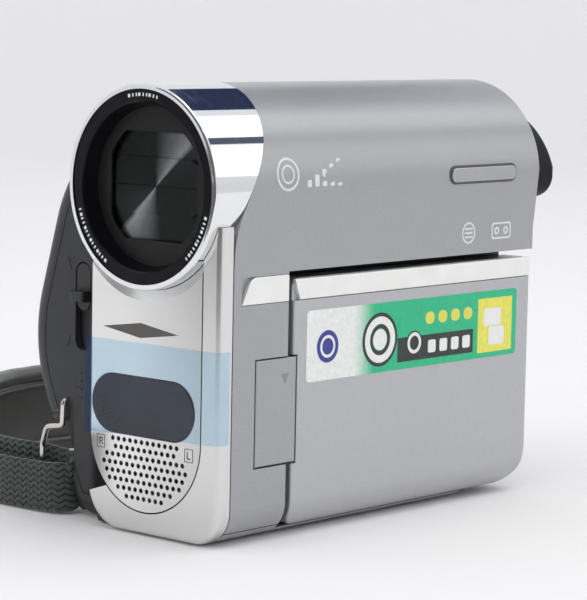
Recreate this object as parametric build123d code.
"""Handheld tape camcorder, modelled as the pieces it comes apart into.

Frame: millimetres, +Z up. The origin is the mouth of the tripod socket, on the surface that the camcorder
stands on. The lens looks along -Y, the swing-out screen is on the +X side and the grip is on the -X side.
"""

from build123d import *
import math
import os

# ---- driving dimensions ----
LENS_Z = 69.7           # height of the lens axis
RING_R = 20.3           # outside radius of the lens ring
RING_FRONT = -50.0      # front rim of the lens ring
FACE_Y = -48.0          # flat face of the front panel
SEAM_Y = -44.5          # seam between the front frame and the side cabinet
SIDE_X = 20.2           # flat side that carries the screen
REAR_Y = 53.3           # rear rim of the half-round shell
BASE_Z = 0.4            # underside of the covers; the foot strips reach 0
CORNER_R = 7.0          # rounding along the bottom of the screen side
WALL = 1.4              # wall of the moulded covers
SHELL_END = 152.0       # angle round the lens axis where the half-round shell ends, in degrees
COLUMN_LEFT = -22.2     # the column's floor ends here and the grip's begins
SEAM = 0.2              # gap left at a seam

GRIP_FRONT = -43.0      # front face of the grip
GRIP_REAR = 46.0        # rear face of the grip
GRIP_FOOT = (-25.73, BASE_Z)
GRIP_SIDE = (-40.97, 34.7)
GRIP_SHOULDER = (-29.66, 74.3)
GRIP_TOP = (-12.0, 83.1)
GRIP_RADII = (6.0, 33.0, 30.0)
GRIP_RIM = 4.6          # width of the lid's rim round the front face
CHIN_END = ((-17.0, 6.9), (-10.0, 9.2))  # sloped left end of the chin, X and Z

PANEL_FRONT, PANEL_REAR = -26.8, 50.8
PANEL_LOW, PANEL_HIGH = 2.0, 51.9
PANEL_BACK_X = 12.6     # inner face of the screen panel
BAY_HIGH = 53.5         # lower edge of the shell above the panel
BAY_X = 11.8            # wall of the bay behind the panel
PILLAR_REAR = -28.5     # rear edge of the pillar in front of the panel
TRIM_LOW = 47.6         # lower edge of the bright trim

HINGE_X, HINGE_Y = 17.6, -35.0      # upright axis of the screen hinge
HINGE_LOW, HINGE_HIGH = 15.3, 36.4
HINGE_PIN_R = 1.1

GRILLE_ROWS = (12, 11, 14, 15, 14, 13, 10, 7)  # holes in each row of the microphone grille
GRILLE_TOP, GRILLE_PITCH = 18.9, 1.62

BATTERY = (31.8, 18.5, 45.0)
BATTERY_CORNER = (-21.6, 33.3, 2.6)

LID_AXIS = (-33.2, 20.5)            # X and Z of the cassette lid's hinge pin
LID_TOP_X = -27.0                   # the lid ends here on top of the grip
LID_REAR = 40.5
KNUCKLE_R = 1.25
LID_KNUCKLES = ((-34.0, -26.0), (28.0, 36.0))
COVER_KNUCKLES = ((-25.7, -18.0), (20.0, 27.7))
DECK_X = -13.7                      # inner face of the deck plate
HOLDER = ((-27.9, -15.6), (-37.8, 30.2), (21.6, 69.0))
HOLDER_AXIS = (-26.3, 24.2)

WINDOW_HALF_W, WINDOW_HALF_H, WINDOW_R = 11.9, 10.7, 13.3
BLADE_R = 19.0                      # the open blades stay inside this radius
INNER_TRAVEL, OUTER_TRAVEL = 10.75, 6.6

SWITCH_X, SWITCH_LOW, SWITCH_HIGH = -23.1, 34.6, 52.8
SWITCH_TRAVEL = 8.0

POD_X, POD_HALF_W, POD_TOP = -21.6, 5.0, 80.5
POD_Y = (-24.0, 42.0)
ZOOM_Y, PHOTO_Y, EJECT_Y = 31.0, 17.0, -12.0

DIAL_X, DIAL_Z, DIAL_R = -29.3, 41.5, 6.7

STRAP_X, STRAP_R = -40.5, 42.0      # the pad hangs on an arc of this radius, centred at this X
PAD_FRONT_X, PAD_REAR_X = -60.0, -48.0  # the pad's ends
WIRE_R = 0.6
FRONT_HOOK = ((-27.6, -41.0, 24.0), (-27.6, -43.9, 23.8), (-27.9, -43.9, 18.5), (-33.2, -43.4, 17.6),
              (-35.4, -42.5, 13.6), (-35.4, -42.4, 2.4), (-27.0, -37.0, 2.4))
REAR_HOOK = ((-31.5, 42.8, 21.6), (-37.4, 43.6, 21.4), (-37.4, 43.6, 2.4), (-26.0, 42.8, 2.4))
HOOK_BENDS = (1.0, 1.2, 2.2, 2.2, 1.2)

POCKET_X = -25.4                    # right wall of the pocket for the front hook
PIN_HOLE_Y = -12.7                  # hole for a tripod's locating pin
SCREWS = ((-12.0, -38.0), (5.0, -38.0), (-18.5, 4.0), (9.0, 4.0))


# ---- small tools ----
def box(x, y, z):
    """A block between low and high values on each axis."""
    size = [high - low for low, high in (x, y, z)]
    middle = [(high + low) / 2 for low, high in (x, y, z)]
    return Pos(*middle) * Box(*size)


def rod_x(y, z, r, x0, x1):
    """A round bar along X."""
    return Pos((x0 + x1) / 2, y, z) * Rot(0, 90, 0) * Cylinder(r, x1 - x0)


def rod_y(x, z, r, y0, y1):
    """A round bar along Y."""
    return Pos(x, (y0 + y1) / 2, z) * Rot(90, 0, 0) * Cylinder(r, y1 - y0)


def rod_z(x, y, r, z0, z1):
    """A round bar along Z."""
    return Pos(x, y, (z0 + z1) / 2) * Cylinder(r, z1 - z0)


def along_y(face, y0, y1):
    """A face drawn in X and Z, drawn out from y0 to y1."""
    plane = Plane(origin=(0, y1, 0), x_dir=(1, 0, 0), z_dir=(0, -1, 0))
    return extrude(plane * face, amount=y1 - y0)


def along_x(face, x0, x1):
    """A face drawn in Y and Z, drawn out from x0 to x1."""
    plane = Plane(origin=(x0, 0, 0), x_dir=(0, 1, 0), z_dir=(1, 0, 0))
    return extrude(plane * face, amount=x1 - x0)


def along_z(face, z0, z1):
    """A face drawn in X and Y, drawn out from z0 to z1."""
    return extrude(Pos(0, 0, z0) * face, amount=z1 - z0)


def polygon(*points):
    return make_face(Polyline(*points, close=True))


def disc(x, z, r):
    return Pos(x, z) * Circle(r)


def pill(x, z, width, height):
    """A rounded slot shape, its ends half-round."""
    return Pos(x, z) * RectangleRounded(width, height, min(width, height) / 2 - 0.01)


def facing_circle(y, z, r):
    """Round face that looks along Y."""
    plane = Plane(origin=(0, y, z), x_dir=(1, 0, 0), z_dir=(0, 1, 0))
    return (plane * Circle(r)).face()


def lens_tube(r_out, r_in, y0, y1):
    """A tube round the lens axis."""
    return rod_y(0, LENS_Z, r_out, y0, y1) - rod_y(0, LENS_Z, r_in, y0 - 1, y1 + 1)


def wire(points, radius, bend):
    """A bent round wire through the points."""
    path = FilletPolyline(*points, radius=bend)
    return sweep(Plane(origin=path @ 0, z_dir=path % 0) * Circle(radius), path=path)


# ---- outlines shared by several pieces ----
def column_face(inset=0.0):
    """Section of the main column: flat side, half-round top and rounded lower corner."""
    side, low = SIDE_X - inset, BASE_Z + inset
    corner = SIDE_X - CORNER_R
    end = math.radians(SHELL_END)
    top = (side * math.cos(end), LENS_Z + side * math.sin(end))
    crown = ThreePointArc((side, LENS_Z), (0, LENS_Z + side), top)
    sole = Line((COLUMN_LEFT, low), (corner, low))
    heel = TangentArc((corner, low), (side, BASE_Z + CORNER_R), tangent=(1, 0))
    wall = Line((side, BASE_Z + CORNER_R), (side, LENS_Z))
    back = Polyline(top, (0, LENS_Z), (0, 20), (COLUMN_LEFT, 20), (COLUMN_LEFT, low))
    return make_face(sole + heel + wall + crown + back)


def grip_face(inset=0.0, right=-8.0):
    """Section of the grip, open towards the column; right is its inner boundary."""
    corners = ((right, BASE_Z), GRIP_FOOT, GRIP_SIDE, GRIP_SHOULDER, GRIP_TOP)
    outline = FilletPolyline(*corners, radius=GRIP_RADII)
    face = make_face(outline + Polyline(GRIP_TOP, (right, GRIP_TOP[1]), (right, BASE_Z)))
    return offset(face, amount=-inset, kind=Kind.INTERSECTION) if inset else face


def barrel_seam_zone(shift=0.0):
    """Everything in front of the curved seam between the lens barrel and the shell."""
    lean = Spline((-29.0, 90.5), (-33.9, 79.8), (-39.0, 70.9), (-43.0, 63.4), (SEAM_Y, 53.0),
                  tangents=[(-0.42, -0.9), (0, -1)])
    back = Polyline((SEAM_Y, 53.0), (SEAM_Y, -5), (-60, -5), (-60, 95), (-27.2, 95), (-29.0, 90.5))
    return Pos(0, shift, 0) * along_x(make_face(lean + back), -60, 60)


def grip_block(inset=0.0):
    """The grip's solid outline with its rounded front and rear edges."""
    right = -8.0 if inset == 0 else 10.0
    front, rear = GRIP_FRONT + inset, GRIP_REAR - inset
    block = along_y(grip_face(inset, right), front, rear)
    for y, radius in ((front, 4.0 - inset), (rear, 3.4 - inset)):
        rim = [e for e in block.edges() if abs(e.center().Y - y) < 0.01
               and e.center().X < -17 and abs(e.length) > 0.5]
        block = fillet(rim, radius)
    return block


def panel_face(inset=0.0):
    """Side view of the screen panel, Y and Z."""
    y0, y1 = PANEL_FRONT + inset, PANEL_REAR - inset
    z0, z1 = PANEL_LOW + inset, PANEL_HIGH - inset
    corners = [(y0, z0), (y1, z0), (y1, z1), (y0, z1)]
    radii = [3.0 - inset, 8.0 - inset, 2.2 - inset / 2, 1.8 - inset / 2]
    return make_face(FilletPolyline(*corners, radius=radii, close=True))


def viewfinder_face(inset=0.0):
    """D-shaped section of the viewfinder, X and Z."""
    half, top, low = 18.4 - inset, 84.5 - inset, 64.2 + inset
    middle = 71.0
    crown = ThreePointArc((half, middle), (0, top), (-half, middle))
    sides = FilletPolyline((-half, middle), (-half, low), (half, low), (half, middle), radius=5.0)
    return make_face(crown + sides)


# ---- front ----
def tongue_face(grow=0.0):
    """Outline of the front panel: straight sides and a half-round foot."""
    radius = 15.2 + grow
    arc = ThreePointArc((-radius, 20.2), (0, 20.2 - radius), (radius, 20.2))
    return make_face(arc + Polyline((radius, 20.2), (radius, 60), (-radius, 60), (-radius, 20.2)))


def frame_face():
    """Outline of the camcorder's front below the lens ring."""
    sides = FilletPolyline((-16.6, 63), (-16.6, BASE_Z), (SIDE_X, BASE_Z), (SIDE_X, 63),
                           radius=(9.0, CORNER_R))
    return make_face(sides + Line((SIDE_X, 63), (-16.6, 63)))


def cheek_zone(shift=0.0):
    """Zone above the left end of the chin, X and Z."""
    (x0, z0), (x1, z1) = CHIN_END
    return polygon((x0, z0 + shift), (x1, z1 + shift), (x1, 60), (x0, 60))


def front_frame():
    """The satin J round the front panel: the right-hand side and the chin."""
    frame = along_y(frame_face(), FACE_Y, GRIP_FRONT - SEAM)
    rim = [e for e in frame.edges() if abs(e.center().Y - FACE_Y) < 0.01 and e.center().Z < 62.9]
    frame = fillet(rim, 1.3)
    frame -= along_y(tongue_face(0.3), FACE_Y - 1, 0)
    frame -= rod_y(0, LENS_Z, RING_R + 0.1, -60, 0)
    frame -= along_y(cheek_zone(), -60, 0)
    frame -= box((SIDE_X - WALL - SEAM, 30), (SEAM_Y - SEAM, 0), (-5, 90))
    frame -= box((-16.0, 30), (SEAM_Y - SEAM, 0), (-5, CORNER_R + 1))
    return frame


def front_panel():
    """The flat panel with the window opening and the microphone grille."""
    panel = along_y(tongue_face(), FACE_Y, FACE_Y + WALL)
    panel -= rod_y(0, LENS_Z, RING_R + 0.1, -60, 0)
    panel -= loft([facing_circle(FACE_Y - 0.01, LENS_Z - 1.9, RING_R + 0.5),
                   facing_circle(FACE_Y + 0.9, LENS_Z, RING_R)])
    panel -= along_y(pill(-0.6, 26.0, 28.7, 12.1), -60, 0)
    holes = Compound(children=[rod_y(x, z, 0.5, -50, -45) for x, z in grille_holes()])
    return panel - holes


def grille_holes():
    """Staggered rows of small holes, centred on the lens axis."""
    places = []
    for row, count in enumerate(GRILLE_ROWS):
        z = GRILLE_TOP - row * GRILLE_PITCH
        places += [((k - (count - 1) / 2) * GRILLE_PITCH, z) for k in range(count)]
    return places


def ir_window():
    window = along_y(pill(-0.6, 26.0, 28.5, 11.9), FACE_Y - 0.1, FACE_Y + 1.2)
    return fillet(window.faces().sort_by(Axis.Y)[0].edges(), 0.25)


def microphones():
    """Two capsules behind the grille."""
    return [rod_y(x, 12.6, 3.2, -46.2, -42.5) for x in (-6.5, 6.5)]


def lens_ring():
    """Polished tube that surrounds the lens and runs back to the shell."""
    ring = rod_y(0, LENS_Z, RING_R, RING_FRONT, -26)
    ring = fillet(ring.edges().filter_by(GeomType.CIRCLE).sort_by(Axis.Y)[0], 0.5)
    ring -= rod_y(0, LENS_Z, RING_R - 1.1, -60, 0)
    return ring & barrel_seam_zone(-SEAM / 2)


def name_ring():
    """Black trim ring with a conical inside."""
    half = polygon((19.15, -49.7), (16.9, -49.7), (16.6, -49.4), (15.7, -46.4), (19.15, -46.4))
    return revolve(Pos(0, 0, LENS_Z) * half, axis=Axis((0, 0, LENS_Z), (0, 1, 0)))


def lens_window():
    """Outline of the opening in front of the lens."""
    return disc(0, LENS_Z, WINDOW_R) & (Pos(0, LENS_Z) * Rectangle(2 * WINDOW_HALF_W, 2 * WINDOW_HALF_H))


def shutter_mask():
    return along_y(disc(0, LENS_Z, 19.1) - lens_window(), -46.3, -45.75)


def shutter_frame():
    """Carrier of the lens cover blades with a guide on each side."""
    plate = lens_tube(19.1, 14.0, -44.7, -44.1)
    guides = rod_y(0, LENS_Z, 19.1, -45.7, -44.7) & (
        box((13.25, 20), (-50, -40), (60, 80)) + box((-20, -13.25), (-50, -40), (60, 80)))
    return plate + guides


def blade(side, low, high, travel, y0, y1):
    """One lens cover blade; side is +1 above the lens axis and -1 below it."""
    plate = box((-13.0, 13.0), (y0, y1), (LENS_Z + low, LENS_Z + high))
    plate &= rod_y(0, LENS_Z - travel, BLADE_R, y0 - 1, y1 + 1)
    return plate if side > 0 else mirror(plate, Plane.XY.offset(LENS_Z))


def front_lens():
    """Front element with a domed face."""
    half = make_face(ThreePointArc((0, -43.6), (6.6, -43.0), (12.7, -41.2))
                     + Polyline((12.7, -41.2), (12.7, -38.5), (0, -38.5), (0, -43.6)))
    return revolve(Pos(0, 0, LENS_Z) * half, axis=Axis((0, 0, LENS_Z), (0, 1, 0)))


def lens_barrel():
    """Tube of the zoom lens, with the sensor's housing on its rear end."""
    barrel = lens_tube(14.4, 12.8, -43.9, 14.0)
    barrel += lens_tube(18.6, 14.0, -40.0, -38.6)
    return barrel + box((-11, 11), (13.9, 18.5), (LENS_Z - 10, LENS_Z + 10))


# ---- screen side ----
def side_cabinet():
    """Half-round shell with the pillar in front of the screen panel."""
    skin = along_y(column_face() - column_face(WALL), -50, REAR_Y)
    skin -= barrel_seam_zone(SEAM / 2)
    skin -= box((-30, 18.4), (-60, 60), (-5, 60))
    skin -= box((-30, 30), (PILLAR_REAR, 60), (-5, BAY_HIGH))
    tail = polygon((51.5, 40), (51.5, 58), (REAR_Y, 71), (60, 71), (60, 40))
    skin -= along_x(tail, 0, 40)
    skin -= box((10, 30), (HINGE_Y, PILLAR_REAR + 1), (HINGE_LOW - 0.3, HINGE_HIGH + 0.3))
    skin -= rod_z(HINGE_X, HINGE_Y, 4.0, HINGE_LOW - 0.3, HINGE_HIGH + 0.3)
    skin -= box((SIDE_X - 0.75, 30), (-42.2, PILLAR_REAR + 1), (TRIM_LOW - 0.1, 53.0))
    return skin


def side_trim():
    """Bright insert in the pillar, its front top corner rounded."""
    corners = ((-42.1, TRIM_LOW), (-39.4, 52.9), (PILLAR_REAR, 52.9), (PILLAR_REAR, TRIM_LOW))
    outline = make_face(FilletPolyline(*corners, radius=(2.6, 0.3)) + Line(corners[-1], corners[0]))
    trim = along_x(outline, SIDE_X - 0.7, SIDE_X + 0.1)
    return fillet(trim.faces().sort_by(Axis.X)[-1].edges(), 0.15)


def recess_cover():
    """Wall, front return and ceiling of the bay that the screen panel closes into."""
    shell = box((BAY_X - 1.2, 18.5), (PILLAR_REAR - WALL, 50.5), (1.9, BAY_HIGH + 1.2))
    shell -= box((BAY_X, 30), (PILLAR_REAR, 60), (-5, BAY_HIGH))
    shell &= along_y(column_face(WALL + 0.1), -60, 60)
    shell -= box((14.4, 30), (-40, PILLAR_REAR + 1), (HINGE_LOW - 0.4, HINGE_HIGH + 0.4))
    for k in range(7):
        shell -= box((5, 15), (13, 27), (32.2 + 2 * k, 33.2 + 2 * k))
    corner = polygon((40.5, 0), (60, 0), (60, 11.9), (50.5, 11.9))
    return shell - along_x(corner, 0, 30)


def speaker():
    return rod_x(20, 38.7, 8.0, 7.6, 10.4) + rod_x(20, 38.7, 5.0, 5.6, 7.6)


def lcd_cover():
    """Outer shell of the screen panel."""
    shell = along_x(panel_face(), 14.4, SIDE_X) & along_y(column_face(), -60, 60)
    shell = fillet(shell.faces().sort_by(Axis.X)[-1].edges(), 0.5)
    hollow = along_x(panel_face(1.2), 10, SIDE_X - 1.3) & along_y(column_face(1.3), -60, 60)
    shell -= hollow
    shell -= box((SIDE_X - 0.75, 30), (-30, 60), (TRIM_LOW - 0.1, 60))
    shell += box((SIDE_X - 2.2, SIDE_X - 0.75), (PANEL_FRONT + 1, PANEL_REAR - 1),
                 (TRIM_LOW - 1, PANEL_HIGH - 1))
    shell -= box((0, 30), (-30, -25.6), (HINGE_LOW - 0.4, HINGE_HIGH + 0.4))
    guard = box((14.4, 18.9), (-25.6, -24.4), (HINGE_LOW - 1.4, HINGE_HIGH + 1.4))
    return shell + guard - rod_y(16.9, 25.85, 1.65, -30, -20)


def lcd_trim():
    """Bright strip along the top of the panel."""
    outline = polygon((-26.7, 51.8), (-25.1, TRIM_LOW), (50.7, TRIM_LOW), (50.7, 51.8))
    strip = along_x(outline, SIDE_X - 0.7, SIDE_X + 0.05)
    return fillet(strip.edges().filter_by(Axis.Y).sort_by(Axis.X)[-2:], 0.3)


def lcd_bezel():
    """Inner frame of the panel, with the screen opening."""
    bezel = along_x(panel_face(0.15), PANEL_BACK_X, 14.3) & along_y(column_face(), -60, 60)
    bezel -= along_x(Pos(15.5, 27.5) * RectangleRounded(61.6, 36.2, 1.0), 10, 13.6)
    bezel -= box((13.5, 15), (-14, 45), (11, 44))
    bezel -= rod_x(-20.6, 42.0, 2.4, 10, 15)
    bezel -= box((10, 15), (-30, -25.4), (HINGE_LOW - 0.4, HINGE_HIGH + 0.4))
    return bezel


def lcd_screen():
    return along_x(Pos(15.5, 27.5) * RectangleRounded(61.2, 35.8, 0.8), 12.9, 14.2) & box(
        (0, 13.5), (-60, 60), (0, 60)) + box((13.5, 14.2), (-13.8, 44.8), (11.2, 43.8))


def lcd_button():
    return rod_x(-20.6, 42.0, 2.1, PANEL_BACK_X - 0.3, 13.8)


def lcd_hinge_block():
    """Block that turns on the upright pins and carries the panel's level shaft."""
    nose = ThreePointArc((HINGE_X, HINGE_Y - 2.6), (HINGE_X - 1.84, HINGE_Y - 1.84),
                         (HINGE_X - 2.6, HINGE_Y))
    plan = make_face(nose + Polyline((HINGE_X - 2.6, HINGE_Y), (HINGE_X - 2.6, -25.9), (SIDE_X, -25.9),
                                     (SIDE_X, HINGE_Y - 2.6), (HINGE_X, HINGE_Y - 2.6)))
    block = along_z(plan, HINGE_LOW, HINGE_HIGH)
    block = fillet(block.faces().sort_by(Axis.X)[-1].edges(), 0.25)
    block -= rod_z(HINGE_X, HINGE_Y, HINGE_PIN_R + 0.05, HINGE_HIGH - 3.4, 60)
    block -= rod_z(HINGE_X, HINGE_Y, HINGE_PIN_R + 0.05, 0, HINGE_LOW + 3.4)
    return block - rod_y(16.9, 25.85, 1.62, -31, -20)


def lcd_hinge_shaft():
    """Level shaft on which the panel turns over, with its friction washer."""
    return rod_y(16.9, 25.85, 1.6, -31, -18) + rod_y(16.9, 25.85, 2.0, -24.2, -22.8)


def hinge_bracket():
    """Steel bracket with the two upright hinge pins."""
    bracket = box((13.2, 14.2), (-38.2, -31.0), (12.4, 39.4))
    for low, high in ((13.6, 14.6), (37.1, 38.1)):
        bracket += box((14.2, 18.7), (-37.4, -33.2), (low, high))
    bracket += rod_z(HINGE_X, HINGE_Y, HINGE_PIN_R, 13.6, HINGE_LOW + 3.0)
    return bracket + rod_z(HINGE_X, HINGE_Y, HINGE_PIN_R, HINGE_HIGH - 3.0, 38.1)


# ---- grip side ----
def grip_skin():
    return grip_block() - grip_block(WALL)


def below_lid(shift=0.0):
    """The space under a level that runs square to the flank through the lid's hinge."""
    x, z = LID_AXIS
    along = Vector(-0.4063, 0.9137)
    inward = Vector(0.9137, 0.4063)
    start = Vector(x, z) + along * shift
    reach = 40
    corners = [start - inward * reach, start + inward * 3.6, start + inward * 3.6 + Vector(60, 0),
               Vector(60, -20), Vector(-90, -20)]
    return along_y(polygon(*[(c.X, c.Y) for c in corners]), -60, 60)


def knuckle(y0, y1, bore):
    x, z = LID_AXIS
    return rod_y(x, z, KNUCKLE_R, y0, y1) - rod_y(x, z, bore, y0 - 1, y1 + 1)




def cassette_lid(skin):
    """Outer wall of the grip that swings out on the hinge pin."""
    x, z = LID_AXIS
    lid = skin - along_y(grip_face(GRIP_RIM, 10), -60, 60)
    lid -= below_lid(0.3)
    lid &= box((-60, LID_TOP_X), (-60, LID_REAR), (0, 90))
    lid -= rod_y(x, z, 0.9, -36.0, 38.0)
    for y0, y1 in COVER_KNUCKLES:
        lid -= rod_y(x, z, KNUCKLE_R + 0.3, y0 - 0.3, y1 + 0.3)
    for y0, y1 in LID_KNUCKLES:
        lid += knuckle(y0, y1, 0.65)
        lid -= rod_y(x, z, 0.65, y0 - 1, y1 + 1)
    return lid


def lid_hinge_pin():
    return rod_y(LID_AXIS[0], LID_AXIS[1], 0.6, -35.5, 37.5)


def hook_pocket():
    """Recess at the grip's lower front corner, where the strap's hook sits."""
    return box((-60, POCKET_X), (-60, -37.5), (-1, 19.6))


def grip_front_cover(skin):
    """Front of the grip, with the slot of the lens cover switch."""
    cover = skin & along_y(grip_face(GRIP_RIM + SEAM, 10), -60, -30)
    cover &= box((-60, -16.8), (-60, -30), (-5, 90))
    cover += box((-18.2, -16.8), (GRIP_FRONT, -40.0), (BASE_Z, 60)) & along_y(grip_face(0.0), -60, 0)
    cheek = (frame_face() - tongue_face(0.3)) & cheek_zone(SEAM)
    cover += along_y(cheek, FACE_Y + 3.0, GRIP_FRONT)
    cover += box((-18.0, -15.6), (GRIP_FRONT - 0.4, GRIP_FRONT + 1.0), (8.0, 50))
    cover -= rod_y(0, LENS_Z, RING_R + 0.2, -60, 0)
    cover -= hook_pocket()
    height = SWITCH_HIGH - SWITCH_LOW
    slot = pill(SWITCH_X, (SWITCH_LOW + SWITCH_HIGH) / 2, 4.4, height)
    return cover - along_y(slot, -60, -38)


def lens_cover_switch():
    """Slider with a finger ridge; it stands at the top of its slot when the lens is covered."""
    high = SWITCH_HIGH - 0.3
    low = SWITCH_LOW + SWITCH_TRAVEL + 0.3
    slider = along_y(pill(SWITCH_X, (low + high) / 2, 3.8, high - low), GRIP_FRONT + 0.1, -41.2)
    slider += box((SWITCH_X - 3.4, SWITCH_X + 3.4), (-41.2, -40.5),
                  (low - SWITCH_TRAVEL - 0.5, high + SWITCH_TRAVEL - 0.5))
    ridge = box((SWITCH_X - 1.9, SWITCH_X + 1.9), (-45.2, GRIP_FRONT + 0.2), (44.7, 46.9))
    ridge = fillet(ridge.faces().sort_by(Axis.Y)[0].edges(), 0.6)
    return slider + ridge


def grip_lower_cover(skin):
    """Fixed lower part of the grip, with the pocket for the strap's hook."""
    x, z = LID_AXIS
    cover = (skin - along_y(grip_face(GRIP_RIM, 10), -60, 60)) & below_lid(-0.7)
    cover &= box((-60, -22.4), (-60, LID_REAR), (0, 60)) + box((-60, -18.4), (-60, -36.2), (0, 60))
    cover -= hook_pocket() + box((-23.4, 0), (31.4, 60), (-5, 60))
    pocket = box((-60, -16.9), (-37.5, -36.2), (BASE_Z, 21.0))
    pocket += box((-60, -18.4), (-41.5, -36.2), (19.8, 21.0))
    pocket += box((POCKET_X, POCKET_X + WALL), (-41.5, -36.2), (BASE_Z, 21.0))
    cover += pocket & along_y(grip_face(0.3), -60, 0) & below_lid(-0.7)
    for y0, y1 in LID_KNUCKLES:
        cover -= rod_y(x, z, KNUCKLE_R + 0.3, y0 - 0.3, y1 + 0.3)
    for y0, y1 in COVER_KNUCKLES:
        cover += knuckle(y0, y1, 0.62)
        cover -= rod_y(x, z, 0.62, y0 - 1, y1 + 1)
    return cover


def control_deck():
    """Hollow raised deck on top of the grip."""
    low, high = POD_Y
    left, right = POD_X - POD_HALF_W, POD_X + POD_HALF_W
    deck = box((left, right + 4), (low, high), (72, POD_TOP))
    rim = [e for e in deck.edges() if e.center().Z > POD_TOP - 0.1 and e.center().X < right]
    deck = fillet(rim, 1.2)
    return deck - box((left + WALL, right + 8), (low + WALL, high - WALL), (60, POD_TOP - WALL))


def grip_top_cover(skin):
    """Fixed strip between the lid and the barrel, with the raised deck for the controls."""
    low, high = POD_Y
    cover = skin - along_y(grip_face(GRIP_RIM, 10), -60, 60)
    cover &= box((LID_TOP_X + SEAM, 0), (-60, LID_REAR), (60, 90))
    cover -= box((POD_X - POD_HALF_W + WALL, 0), (low + WALL, high - WALL), (60, 90))
    cover += control_deck() & box((LID_TOP_X + SEAM, 0), (-60, LID_REAR), (60, 90))
    cover -= rod_y(0, LENS_Z, RING_R + 0.1, -60, 60)
    cover -= rod_z(POD_X, ZOOM_Y, 1.55, 70, 90)
    cover -= rod_z(POD_X, PHOTO_Y, 3.7, 70, 90)
    return cover - box((POD_X - 1.6, POD_X + 1.6), (EJECT_Y - 7, EJECT_Y + 7), (76, 90))


def zoom_lever():
    """Rocker on an upright stem, with a finger tab."""
    lever = rod_z(POD_X, ZOOM_Y, 4.2, POD_TOP + 0.1, POD_TOP + 1.7)
    lever += box((POD_X - 7.4, POD_X), (ZOOM_Y - 2.0, ZOOM_Y + 2.0), (POD_TOP + 0.1, POD_TOP + 1.7))
    lever += box((POD_X - 7.4, POD_X - 4.6), (ZOOM_Y - 2.0, ZOOM_Y + 2.0), (POD_TOP + 1.7, POD_TOP + 2.9))
    lever = fillet(lever.faces().sort_by(Axis.Z)[-1].edges(), 0.5)
    lever += rod_z(POD_X, ZOOM_Y, 1.5, POD_TOP - 4.0, POD_TOP + 0.3)
    return lever + rod_z(POD_X, ZOOM_Y, 2.6, POD_TOP - 3.6, POD_TOP - 2.2)


def photo_button():
    cap = rod_z(POD_X, PHOTO_Y, 3.4, POD_TOP - 2.6, POD_TOP + 1.1)
    cap = fillet(cap.edges().sort_by(Axis.Z)[-1], 0.4)
    return cap + rod_z(POD_X, PHOTO_Y, 3.5, POD_TOP - 4.2, POD_TOP - 2.6)


def eject_lever():
    """Slider that releases the cassette lid; it moves forward in its slot."""
    slider = box((POD_X - 1.3, POD_X + 1.3), (EJECT_Y - 2.4, EJECT_Y + 6.6), (POD_TOP - 2.0, POD_TOP + 0.1))
    slider += box((POD_X - 2.6, POD_X + 2.6), (EJECT_Y - 3.4, EJECT_Y + 6.6),
                  (POD_TOP - 2.8, POD_TOP - 1.6))
    for k in range(4):
        y = EJECT_Y - 1.6 + 2.2 * k
        slider += box((POD_X - 1.3, POD_X + 1.3), (y, y + 0.8), (POD_TOP, POD_TOP + 0.6))
    return slider


# ---- tape mechanism ----
DRUM_Y, DRUM_Z, DRUM_R = -3.8, 21.5, 10.85
REEL_Z, REEL_GAP = 47.0, 31.0


def tape_deck():
    """Deck plate with the fixed half of the drum, the reel posts and the holder's ears."""
    deck = box((DECK_X - 1.2, DECK_X), (-37.8, 30.2), (12.0, 54.0))
    deck += box((DECK_X - 1.2, DECK_X), (-39.0, 31.4), (21.4, 27.0))
    for y0, y1 in ((-39.0, -38.0), (30.4, 31.4)):
        deck += box((-29.0, DECK_X), (y0, y1), (21.4, 27.0))
    deck -= rod_y(*HOLDER_AXIS, 0.85, -60, 60)
    deck += rod_x(DRUM_Y, DRUM_Z, DRUM_R, -19.6, DECK_X) + rod_x(DRUM_Y, DRUM_Z, 1.5, -24.6, -19.6)
    for side in (-1, 1):
        deck += rod_x(DRUM_Y + side * REEL_GAP / 2, REEL_Z, 1.0, -21.0, DECK_X)
    return deck


def head_drum():
    """Turning half of the drum."""
    drum = rod_x(DRUM_Y, DRUM_Z, DRUM_R, -25.6, -19.8) - rod_x(DRUM_Y, DRUM_Z, 1.55, -24.8, -19)
    for y in (DRUM_Y - DRUM_R, DRUM_Y + DRUM_R):
        drum -= box((-21.0, -19), (y - 1, y + 1), (DRUM_Z - 1, DRUM_Z + 1))
    return drum


def reel(side):
    """Table and spline that drive one cassette hub."""
    y = DRUM_Y + side * REEL_GAP / 2
    table = rod_x(y, REEL_Z, 4.6, -16.2, DECK_X - 1.3) + rod_x(y, REEL_Z, 2.4, -22.0, -16.2)
    for k in range(3):
        fin = box((-21.6, -16.2), (2.0, 3.4), (-0.4, 0.4))
        table += Pos(0, y, REEL_Z) * Rot(120 * k, 0, 0) * fin
    return table - rod_x(y, REEL_Z, 1.05, -21.2, 0)


def cassette_holder():
    """Sheet basket for the cassette, open at the top and towards the deck."""
    (x0, x1), (y0, y1), (z0, z1) = HOLDER
    sheet = 0.6
    holder = box(*HOLDER) - box((x0 + sheet, 0), (y0 + sheet, y1 - sheet), (z0 + sheet, 90))
    holder -= box((-60, 0), (DRUM_Y - 12.5, DRUM_Y + 12.5), (0, 34.0))
    for side in (-1, 1):
        y = DRUM_Y + side * REEL_GAP / 2
        holder -= box((-60, x0 + 1), (y - 11, y + 11), (41, 60))
    holder -= box((-60, 0), (y0 - 1, y1 + 1), (66.5, 90)) & box((x0 + 4, 0), (y0 - 1, y1 + 1), (0, 90))
    for start, end in ((y0 - 1.3, y0 + 0.2), (y1 - 0.2, y1 + 1.3)):
        holder += rod_y(*HOLDER_AXIS, 0.8, start, end)
    return holder


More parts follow.
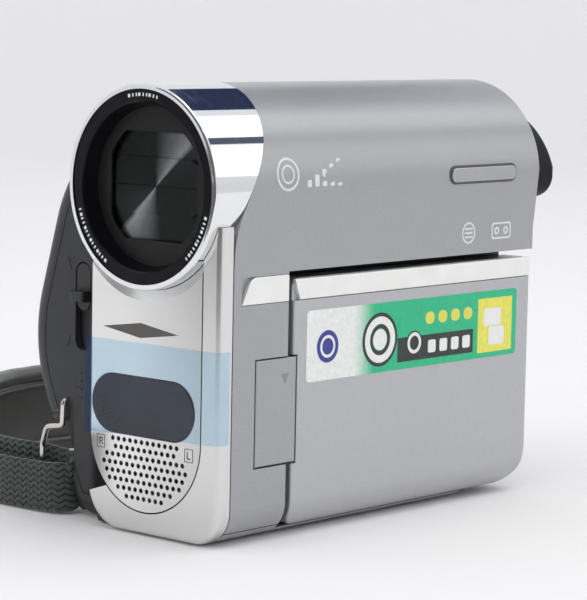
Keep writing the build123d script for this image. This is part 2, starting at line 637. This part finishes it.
# ---- rear and bottom ----
def column_left_wall():
    """Left half of the column's rear end, a mirror of the shell."""
    face = (disc(0, LENS_Z, SIDE_X) + Pos(-SIDE_X / 2, 61.7) * Rectangle(SIDE_X, 16)) - (
        disc(0, LENS_Z, SIDE_X - WALL) + Pos(-(SIDE_X - WALL) / 2, 61.7) * Rectangle(SIDE_X - WALL, 16))
    cut = math.radians(SHELL_END + 1)
    far = 40
    upper = (far * math.cos(cut), LENS_Z + far * math.sin(cut))
    keep = polygon((0, LENS_Z), upper, (-far, 53.7), (0, 53.7))
    return along_y(face & keep, LID_REAR + SEAM, 51.5)


def battery_bay():
    """Back wall, side wall and ceiling of the battery's bay."""
    back = box((-23.2, 10.4), (31.6, 33.0), (1.9, 55.1))
    side = box((-23.2, -21.8), (31.6, 45.0), (BASE_Z, 55.1))
    ceiling = box((-23.2, 10.4), (31.6, 50.5), (53.7, 55.1))
    return back + side + ceiling - box((-10.1, 2.1), (30, 34), (17.9, 40.1))


def rear_cover(skin):
    """Rear of the grip and column, with the battery bay and the dial's hub."""
    cover = skin & box((-60, 0), (LID_REAR + SEAM, 60), (-5, 90))
    cover -= box((-21.8, 10), (0, 60), (-5, 53.7))
    cover -= rod_y(0, LENS_Z, SIDE_X, 0, 60) + box((-SIDE_X, 10), (0, 60), (53, LENS_Z))
    cover += column_left_wall() + battery_bay()
    cover += box((-SIDE_X + 0.5, SIDE_X - WALL - 0.2), (49.1, 50.5), (54.9, 63.6))
    cover += rod_y(DIAL_X, DIAL_Z, 5.0, 44.6, 48.8)
    cover -= rod_y(DIAL_X, DIAL_Z, 4.5, 40, 60)
    cover -= box((-28.8, -23.6), (40, 60), (14.6, 28.4))
    return cover - wire(REAR_HOOK, WIRE_R + 0.05, 1.6)


def mode_dial():
    """Knurled ring that turns round the record button."""
    ring = rod_y(DIAL_X, DIAL_Z, DIAL_R, 46.2, 49.4)
    ring = fillet(ring.edges().filter_by(GeomType.CIRCLE).sort_by(Axis.Y)[-1], 0.6)
    ring -= rod_y(DIAL_X, DIAL_Z, 5.05, 40, 60)
    for k in range(24):
        angle = math.radians(15 * k)
        ring -= rod_y(DIAL_X + DIAL_R * math.cos(angle), DIAL_Z + DIAL_R * math.sin(angle), 0.4, 46, 50)
    return ring


def record_button():
    cap = rod_y(DIAL_X, DIAL_Z, 4.2, 43.4, 49.9)
    cap = fillet(cap.edges().filter_by(GeomType.CIRCLE).sort_by(Axis.Y)[-1], 0.6)
    return cap + rod_y(DIAL_X, DIAL_Z, 5.6, 42.2, 43.6)


def jack_block():
    block = box((-29.0, -23.7), (36.5, 44.4), (14.8, 28.2))
    return block - rod_y(-26.3, 24.2, 1.8, 38, 50) - rod_y(-26.3, 18.6, 1.8, 38, 50)


def jack_cover():
    """Flap over the two jacks, hinged along its lower edge."""
    flap = box((-29.6, -23.0), (46.15, 47.2), (13.7, 29.2))
    flap = fillet(flap.faces().sort_by(Axis.Y)[-1].edges(), 0.4)
    return flap + rod_x(46.65, 13.5, 0.45, -29.0, -23.6)


def battery_pack():
    corner, size = BATTERY_CORNER, BATTERY
    pack = box(*[(c, c + s) for c, s in zip(corner, size)])
    pack = fillet(pack.faces().sort_by(Axis.Y)[-1].edges(), 2.0)
    for z in (10.0, 32.0):
        pack -= box((corner[0] - 1, corner[0] + 1.0), (38, 41), (z, z + 8))
    return pack


def battery_terminal():
    """Contact block in the back wall of the battery bay."""
    block = box((-10, 2), (31.0, 33.15), (18, 40))
    for k in range(3):
        block -= box((-8.6 + 3.6 * k, -6.8 + 3.6 * k), (32.4, 34), (21, 37))
    return block


def bottom_cover():
    """Floor of the column, with the screw holes and the boss for a locating pin."""
    floor = along_y(column_face() - column_face(WALL), SEAM_Y + SEAM, 31.4)
    floor &= box((COLUMN_LEFT, 30), (-60, 60), (-5, 2.5))
    floor -= box((12.0, 30), (PILLAR_REAR, 60), (PANEL_LOW - SEAM, 5))
    floor -= box((-30, -16.7), (-60, -36.0), (-5, 5))
    floor += rod_z(0, PIN_HOLE_Y, 3.6, BASE_Z, 3.8)
    floor -= rod_z(0, PIN_HOLE_Y, 2.3, -1, 3.0) + rod_z(0, 0, 4.7, -1, 4)
    floor -= box((-9.3, 0.8), (24.2, 28.8), (-1, 3))
    for x, y in SCREWS:
        floor -= rod_z(x, y, 1.7, -1, BASE_Z + 0.8) + rod_z(x, y, 0.9, -1, 3)
    return floor


def battery_latch():
    """Slider that lets the battery go; it moves towards the screen side."""
    thumb = box((-9.0, -3.0), (24.5, 28.5), (BASE_Z + 0.1, 2.0))
    return thumb + box((-12.0, 0.0), (23.2, 29.8), (2.0, 2.9))


def tripod_socket():
    socket = rod_z(0, 0, 4.6, 0, 6.5) + rod_z(0, 0, 6.5, 2.0, 3.0)
    return socket - rod_z(0, 0, 3.175, -1, 5.5)


def foot_strips():
    strips = []
    for x0, front in ((-20.0, -35.6), (9.4, -44.0)):
        for y0, y1 in ((front, -26.0), (12.0, 22.0)):
            strips.append(box((x0, x0 + 3.4), (y0, y1), (0, BASE_Z)))
    return strips


def case_screws():
    """Cross-head screws that hold the bottom cover."""
    screws = []
    for x, y in SCREWS:
        screw = rod_z(x, y, 1.55, BASE_Z + 0.15, BASE_Z + 0.8) + rod_z(x, y, 0.8, BASE_Z + 0.8, 6.0)
        for wide, deep in ((1.8, 0.4), (0.4, 1.8)):
            screw -= box((x - wide / 2, x + wide / 2), (y - deep / 2, y + deep / 2), (0, BASE_Z + 0.5))
        screws.append(screw)
    return screws


def main_board():
    board = box((4.0, 5.2), (-38, 29), (8, 50))
    for y, z, w, h in ((-30, 14, 12, 12), (-12, 30, 14, 14), (-34, 36, 8, 10), (2, 14, 10, 8)):
        board += box((2.6, 4.0), (y, y + w), (z, z + h))
    return board


# ---- viewfinder ----
def viewfinder_housing():
    """Closes the rear of the barrel and carries the eyecup."""
    plate = disc(0, LENS_Z, SIDE_X - WALL - 0.2) & (Pos(0, 78.8) * Rectangle(60, 30))
    housing = along_y(plate, 50.7, 52.0) + along_y(viewfinder_face(), 52.0, 54.2)
    housing -= box((-6.5, 6.5), (52.4, 54.0), (60, 66.6))
    return housing - along_y(Pos(0, 74.5) * RectangleRounded(15, 9, 3), 40, 60)


def viewfinder_eyecup():
    """Soft cup round the eyepiece."""
    cup = along_y(viewfinder_face(), 54.3, 61.8)
    cup = fillet(cup.faces().sort_by(Axis.Y)[-1].edges(), 1.6)
    cup -= along_y(Pos(0, 74.5) * RectangleRounded(24, 14, 5.5), 57.2, 70)
    return cup - along_y(Pos(0, 74.5) * RectangleRounded(17.2, 11.2, 4), 54, 60)


def eyepiece_lens():
    glass = along_y(Pos(0, 74.5) * RectangleRounded(17, 11, 3.9), 54.5, 57.0)
    return fillet(glass.faces().sort_by(Axis.Y)[-1].edges(), 0.5)


def diopter_lever():
    return box((-2, 2), (52.6, 53.8), (62.2, 66.3))


# ---- hand strap ----
def strap_hooks():
    """Front and rear wires that the webbing passes through."""
    return [wire(FRONT_HOOK, WIRE_R, HOOK_BENDS), wire(REAR_HOOK, WIRE_R, 1.6)]


def strap_pad():
    """Plain solid of the padded part: a thick arc standing on its edge."""
    band = Pos(STRAP_X, 0) * (Circle(STRAP_R + 2.75) - Circle(STRAP_R - 2.75))
    band &= polygon((PAD_FRONT_X, -90), (PAD_FRONT_X, 0), (PAD_REAR_X, 0), (PAD_REAR_X, 90),
                    (-120, 90), (-120, -90))
    return along_z(band, 0.8, 21.4)


def ribbon(path):
    """Flat webbing that stands on its edge and follows a path in plan."""
    plane = Plane(origin=path @ 0, x_dir=(0, 0, 1), z_dir=path % 0)
    return Pos(0, 0, 8.2) * sweep(plane * Rectangle(10.0, 1.2), path=path)


def strap_webbing():
    """Front length, looped through the front hook, and the short rear length."""
    outer = CenterArc((STRAP_X, 0), STRAP_R + 3.7, 205, 62)
    run = Line(outer @ 1, (-29.4, -45.2))
    loop = TangentArc(run @ 1, (-29.4, -39.8), tangent=run % 1)
    home = FilletPolyline(loop @ 1, (-46.0, -41.2), (-59.6, -37.0), radius=12)
    front = ribbon(Wire((outer + run + loop + home).edges()))
    rear_path = FilletPolyline((-47.6, 41.0), (-34.6, 41.0), (-34.6, 46.2), (-45.0, 46.4), (-56.0, 43.2),
                               radius=(2.3, 2.3, 8.0))
    return [front, ribbon(rear_path)]


def write(name, shape):
    """Write one piece, or a group of like solids, to its own file."""
    if isinstance(shape, list):
        shape = Compound(children=[solid for item in shape for solid in item.solids()])
    export_step(shape, "parts/" + name + ".step")


def main():
    os.makedirs("parts", exist_ok=True)
    skin = grip_skin()
    pieces = {
        "front_frame": front_frame(),
        "front_panel": front_panel(),
        "ir_window": ir_window(),
        "microphones": microphones(),
        "lens_ring": lens_ring(),
        "name_ring": name_ring(),
        "shutter_mask": shutter_mask(),
        "shutter_frame": shutter_frame(),
        "front_lens": front_lens(),
        "lens_barrel": lens_barrel(),
        "blade_upper_inner": blade(1, 0.05, 5.6, INNER_TRAVEL, -45.6, -45.3),
        "blade_lower_inner": blade(-1, 0.05, 5.6, INNER_TRAVEL, -45.6, -45.3),
        "blade_upper_outer": blade(1, 4.2, 10.9, OUTER_TRAVEL, -45.15, -44.85),
        "blade_lower_outer": blade(-1, 4.2, 10.9, OUTER_TRAVEL, -45.15, -44.85),
        "lens_cover_switch": lens_cover_switch(),
        "side_cabinet": side_cabinet(),
        "side_trim": side_trim(),
        "recess_cover": recess_cover(),
        "speaker": speaker(),
        "hinge_bracket": hinge_bracket(),
        "lcd_cover": lcd_cover(),
        "lcd_trim": lcd_trim(),
        "lcd_bezel": lcd_bezel(),
        "lcd_screen": lcd_screen(),
        "lcd_button": lcd_button(),
        "lcd_hinge_block": lcd_hinge_block(),
        "lcd_hinge_shaft": lcd_hinge_shaft(),
        "grip_front_cover": grip_front_cover(skin) - wire(FRONT_HOOK, WIRE_R + 0.05, HOOK_BENDS),
        "grip_lower_cover": grip_lower_cover(skin) - wire(FRONT_HOOK, WIRE_R + 0.05, HOOK_BENDS),
        "grip_top_cover": grip_top_cover(skin),
        "cassette_lid": cassette_lid(skin),
        "lid_hinge_pin": lid_hinge_pin(),
        "zoom_lever": zoom_lever(),
        "photo_button": photo_button(),
        "eject_lever": eject_lever(),
        "tape_deck": tape_deck(),
        "head_drum": head_drum(),
        "supply_reel": reel(-1),
        "takeup_reel": reel(1),
        "cassette_holder": cassette_holder(),
        "rear_cover": rear_cover(skin),
        "mode_dial": mode_dial(),
        "record_button": record_button(),
        "jack_block": jack_block(),
        "jack_cover": jack_cover(),
        "battery_pack": battery_pack(),
        "battery_terminal": battery_terminal(),
        "battery_latch": battery_latch(),
        "bottom_cover": bottom_cover(),
        "tripod_socket": tripod_socket(),
        "foot_strips": foot_strips(),
        "case_screws": case_screws(),
        "main_board": main_board(),
        "viewfinder_housing": viewfinder_housing(),
        "viewfinder_eyecup": viewfinder_eyecup(),
        "eyepiece_lens": eyepiece_lens(),
        "diopter_lever": diopter_lever(),
        "strap_hooks": strap_hooks(),
        "strap_webbing": strap_webbing(),
        "strap_pad": strap_pad(),
    }
    for name, shape in pieces.items():
        write(name, shape)
    print(len(pieces), "pieces")


if __name__ == "__main__":
    main()
